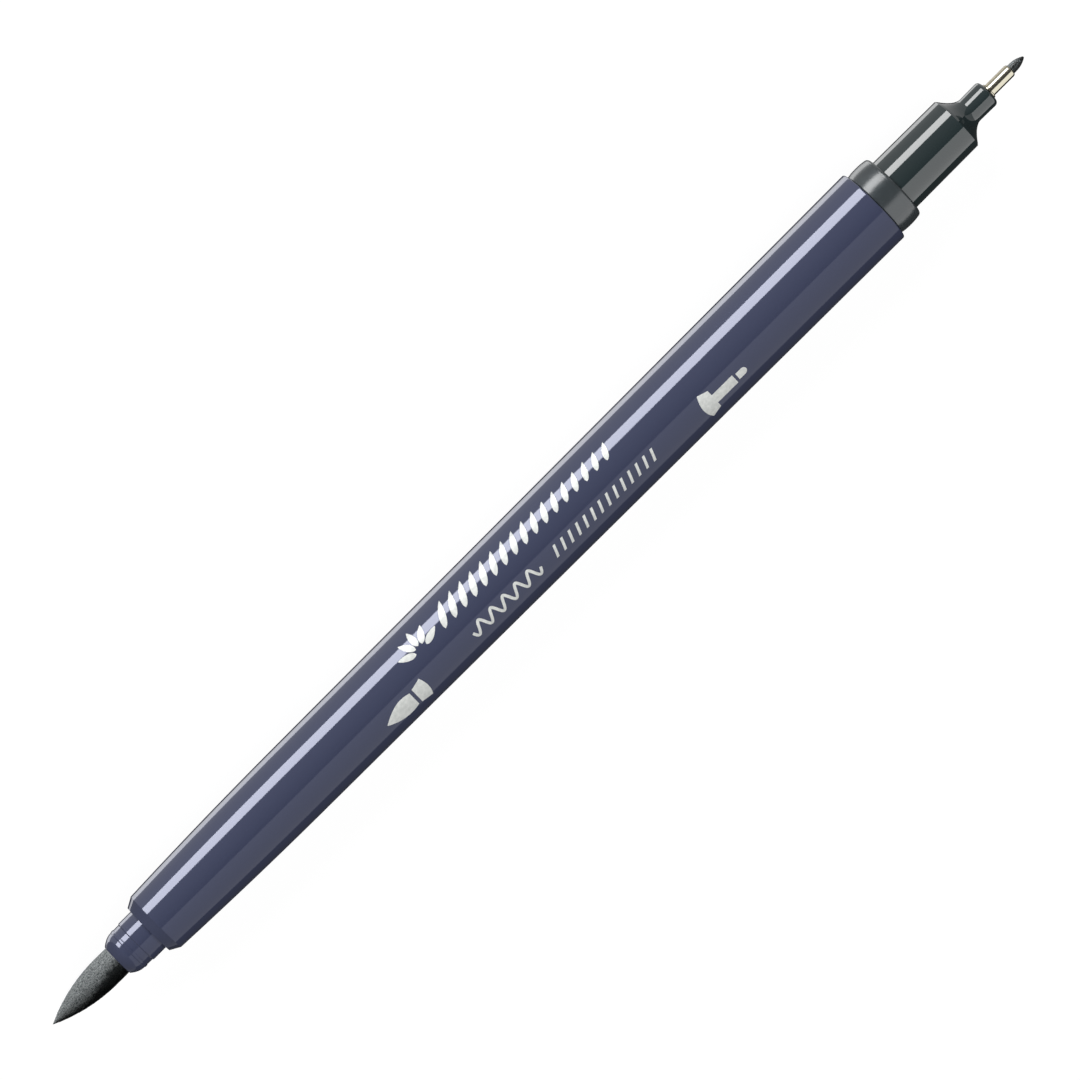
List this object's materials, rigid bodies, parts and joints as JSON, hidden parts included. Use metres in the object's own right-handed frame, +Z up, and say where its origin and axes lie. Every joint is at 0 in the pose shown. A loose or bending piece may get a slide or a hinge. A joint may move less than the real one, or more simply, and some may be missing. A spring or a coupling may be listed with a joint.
{
  "type": "felt tip marker",
  "caption": "Slim felt tip marker with a fibre brush at one end and a fine nib in a steel sleeve at the other, shown uncapped.",
  "frame": {"origin": "on the marker's axis, halfway between the two tips", "axes": "+X along the axis from the brush to the fine nib, +Z up, the printed side towards -Y"},
  "size_m": [0.1508, 0.0096, 0.0096],
  "materials": {
    "barrel_plastic": "glossy moulded polypropylene",
    "section_plastic": "glossy moulded plastic",
    "collar_plastic": "satin moulded plastic",
    "steel": "drawn stainless tube",
    "brush_fibre": "ink-soaked felt, fine grain",
    "nib_fibre": "ink-soaked bonded fibre",
    "reservoir_fibre": "bonded polyester fibre",
    "reservoir_film": "clear film",
    "print_ink": "pad-printed silver-grey ink"
  },
  "bodies": {
    "root": {"barrel": "barrel_plastic", "brush_section": "barrel_plastic", "brush_nib": "brush_fibre", "reservoir_core": "reservoir_fibre", "reservoir_film": "reservoir_film", "end_collar": "collar_plastic", "fine_section": "section_plastic", "nib_sleeve": "steel", "fine_nib": "nib_fibre"}
  },
  "joints": []
}
